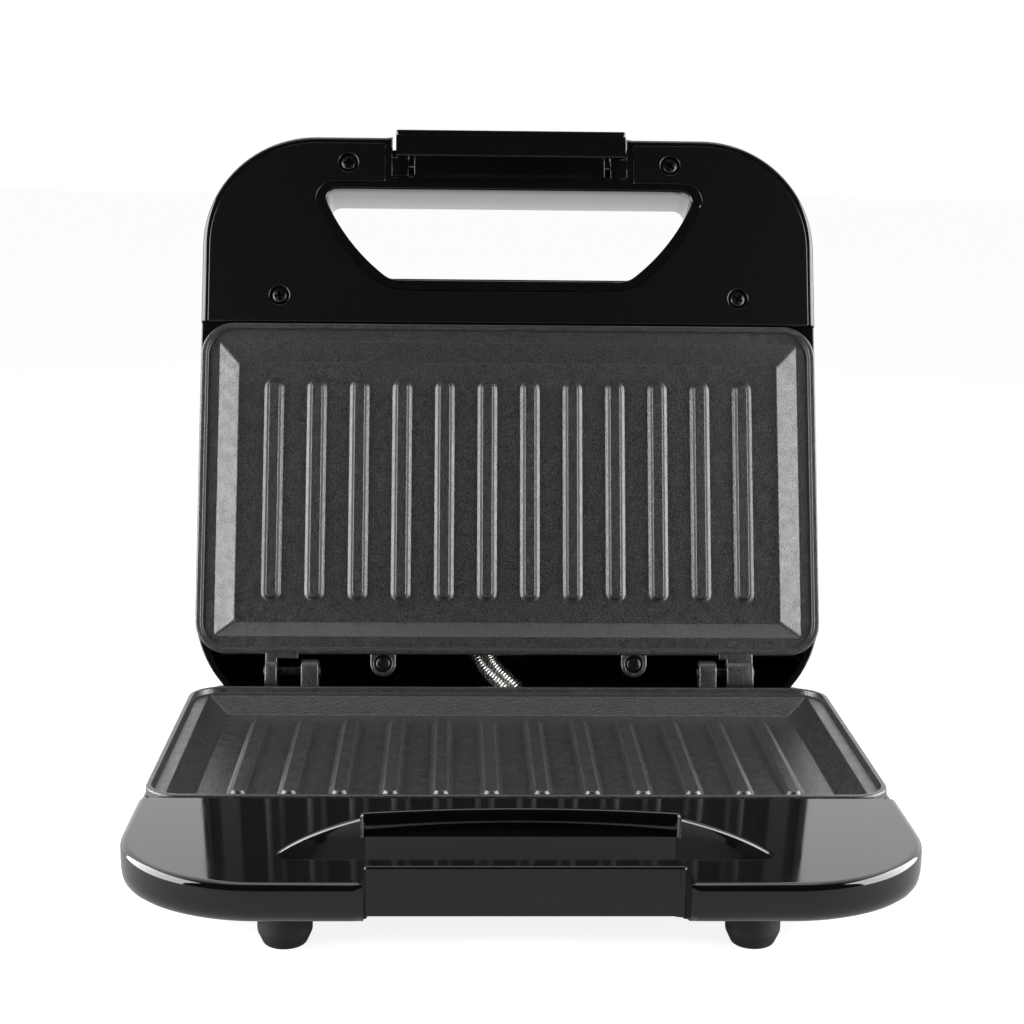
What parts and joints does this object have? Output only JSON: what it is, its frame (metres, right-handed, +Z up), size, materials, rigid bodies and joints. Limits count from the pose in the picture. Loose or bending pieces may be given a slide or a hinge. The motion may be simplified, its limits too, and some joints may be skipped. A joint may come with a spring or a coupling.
{
  "type": "sandwich toaster",
  "caption": "Countertop sandwich toaster with a hinged lid held open, ribbed non-stick plates, half-moon handle cut-outs, a swing latch and a spring conduit across the hinge.",
  "frame": {"origin": "Middle of the object's footprint box on the table: half its width, half its depth with the lid open, at the feet's undersides.", "axes": "X to the right as seen from the handle side, Y to the rear (towards the hinge), Z up. The lid stands open at rest."},
  "size_m": [0.229, 0.2842, 0.2381],
  "materials": {
    "housing": "high gloss black",
    "black_plastic": "satin black",
    "feet": "matt black",
    "plates": "cast, dark grey non-stick coating",
    "steel_parts": "zinc plated",
    "conduit": "bright drawn wire",
    "reflectors": "bare sheet",
    "elements": "heat-darkened sheath",
    "insulators": "glazed ceramic white",
    "leads": "woven glass sleeve",
    "red_lens": "clear red",
    "green_lens": "clear green",
    "lamps": "small neon lamps"
  },
  "bodies": {
    "base": {"base_shell": "housing", "base_cover": "black_plastic", "base_cover_screws": "steel_parts", "foot_front_left": "feet", "foot_front_right": "feet", "foot_rear_left": "feet", "foot_rear_right": "feet", "lower_plate": "plates", "lower_plate_screws": "steel_parts", "lower_heater": "elements", "lower_heater_clamps": "steel_parts", "lower_reflector": "reflectors", "lower_reflector_screws": "steel_parts", "lower_thermostat": "insulators", "terminal_block": "insulators", "cord_gland": "black_plastic", "base_leads": "leads", "base_conduit_bracket": "steel_parts", "hinge_pin_left": "steel_parts", "hinge_pin_right": "steel_parts", "spring_conduit": "conduit", "conduit_leads": "leads"},
    "lid": {"lid_shell": "housing", "lid_inner_cover": "black_plastic", "lid_cover_screws": "steel_parts", "upper_plate": "plates", "upper_plate_screws": "steel_parts", "upper_heater": "elements", "upper_heater_clamps": "steel_parts", "upper_reflector": "reflectors", "upper_reflector_screws": "steel_parts", "upper_thermostat": "insulators", "lid_leads": "leads", "lid_conduit_bracket": "steel_parts", "power_lens": "red_lens", "ready_lens": "green_lens", "indicator_lamps": "lamps", "latch_pin": "steel_parts"},
    "latch": {"latch": "housing"}
  },
  "joints": [
    {"name": "lid_hinge", "type": "hinge", "parent": "base", "child": "lid", "pos_m": [0, 0.05914, 0.0436], "axis": [1, 0, 0], "range_deg": [0, 108.3], "deforming": ["spring_conduit", "conduit_leads"]},
    {"name": "latch_hinge", "type": "hinge", "parent": "lid", "child": "latch", "pos_m": [0, 0.12367, 0.22312], "axis": [1, 0, 0], "range_deg": [-45, 10]}
  ]
}
